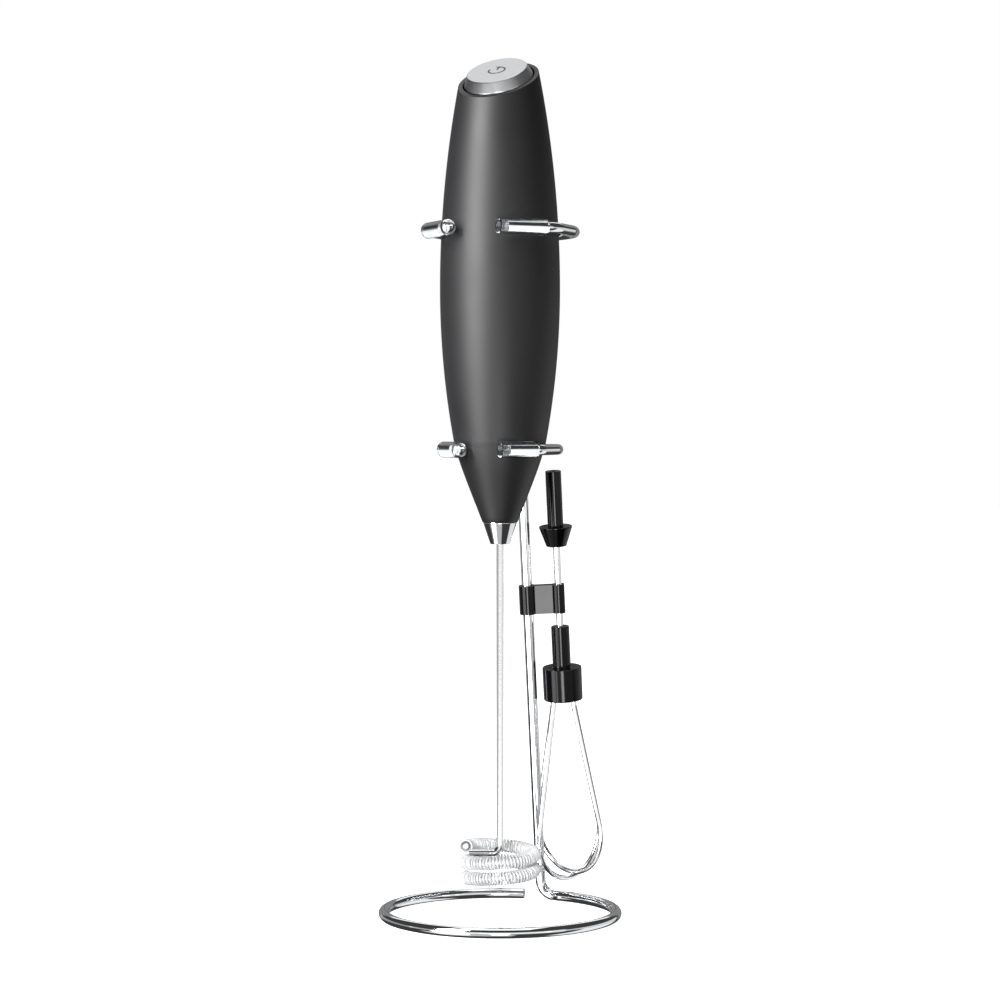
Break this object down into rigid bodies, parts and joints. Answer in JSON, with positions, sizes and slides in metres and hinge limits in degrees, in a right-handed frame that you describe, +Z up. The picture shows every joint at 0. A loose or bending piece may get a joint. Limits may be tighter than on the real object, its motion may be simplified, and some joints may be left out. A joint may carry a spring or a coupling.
{
  "type": "milk frother",
  "caption": "Battery milk frother with a spring whisk, standing in a bent wire stand whose clip holds a spare balloon whisk.",
  "frame": {"origin": "on the handle's axis, at the level of the surface the stand's ring lies on", "axes": "+Z up along the handle, -Y to the stand's open front, where the slanted top is low, +Y to the stand's post, +X to the front's right"},
  "size_m": [0.0682, 0.0802, 0.2409],
  "materials": {
    "chromed_wire": "bright polished chrome plate",
    "clear_sleeve": "clear flexible PVC",
    "soft_touch_black": "satin soft-touch coat",
    "polished_nose": "polished",
    "whisk_steel": "bright stainless",
    "silver_button": "satin silver coat",
    "dark_mark": "printed",
    "gloss_black": "glossy moulded",
    "inner_plastic": "moulded",
    "motor_steel": "zinc plated",
    "magnet": "ferrite",
    "rotor_iron": "laminated, wound",
    "contact_brass": "nickel plated",
    "coupling_brass": "turned",
    "bronze": "sintered",
    "spring_steel": "drawn",
    "cell_jacket": "printed jacket",
    "circuit_board": "solder mask",
    "red_lead": "smooth",
    "black_lead": "smooth"
  },
  "bodies": {
    "stand": {"base_ring": "chromed_wire", "upright": "chromed_wire", "upper_arm": "chromed_wire", "lower_arm": "chromed_wire", "upper_arm_weld": "chromed_wire", "lower_arm_weld": "chromed_wire", "upper_sleeve_left": "clear_sleeve", "upper_sleeve_right": "clear_sleeve", "lower_sleeve_left": "clear_sleeve", "lower_sleeve_right": "clear_sleeve"},
    "frother": {"handle_shell": "soft_touch_black", "tip_cone": "polished_nose", "tip_bush": "bronze", "motor_mount": "inner_plastic", "motor_can": "motor_steel", "motor_bearing": "bronze", "motor_end_cap": "inner_plastic", "motor_magnets": "magnet", "motor_brushes": "contact_brass", "motor_terminals": "contact_brass", "battery_tray": "inner_plastic", "battery_left": "cell_jacket", "battery_right": "cell_jacket", "negative_plate": "contact_brass", "negative_spring": "spring_steel", "positive_plate": "contact_brass", "bridge_plate": "contact_brass", "bridge_spring": "spring_steel", "top_cap": "inner_plastic", "switch_board": "circuit_board", "switch_body": "inner_plastic", "button_spring": "spring_steel", "lead_red": "red_lead", "lead_black": "black_lead"},
    "cover": {"battery_cover": "soft_touch_black"},
    "button": {"power_button": "silver_button", "power_mark": "dark_mark", "switch_plunger": "inner_plastic"},
    "whisk": {"rotor": "rotor_iron", "commutator": "contact_brass", "motor_shaft": "spring_steel", "drive_coupling": "coupling_brass", "whisk_shaft": "whisk_steel", "whisk_coil": "whisk_steel"},
    "clip": {"accessory_clip": "gloss_black"},
    "spare_whisk": {"coupler": "gloss_black", "balloon_rod": "whisk_steel", "balloon_hub": "gloss_black", "balloon_loop_outer": "whisk_steel", "balloon_loop_inner": "whisk_steel"}
  },
  "joints": [
    {"name": "frother_lift", "type": "slide", "parent": "stand", "child": "frother", "axis": [0, 0, 1], "range_m": [0, 0.2]},
    {"name": "cover_slide", "type": "slide", "parent": "frother", "child": "cover", "axis": [0, 0, 1], "range_m": [0, 0.1]},
    {"name": "button_press", "type": "slide", "parent": "frother", "child": "button", "axis": [0, 0.4772, -0.8788], "range_m": [0, 0.0012], "stiffness_N_per_m": 2000, "springref_m": -0.0004, "deforming": ["button_spring"]},
    {"name": "whisk_spin", "type": "hinge", "parent": "frother", "child": "whisk", "pos_m": [0, 0, 0.12], "axis": [0, 0, 1], "continuous": true},
    {"name": "clip_swing", "type": "hinge", "parent": "stand", "child": "clip", "pos_m": [0, 0.02159, 0.088], "axis": [0, -0.129, 0.9916], "range_deg": [-20, 70]},
    {"name": "spare_whisk_pull", "type": "slide", "parent": "clip", "child": "spare_whisk", "axis": [0.9315, 0.3608, 0.0469], "range_m": [0, 0.02]}
  ]
}
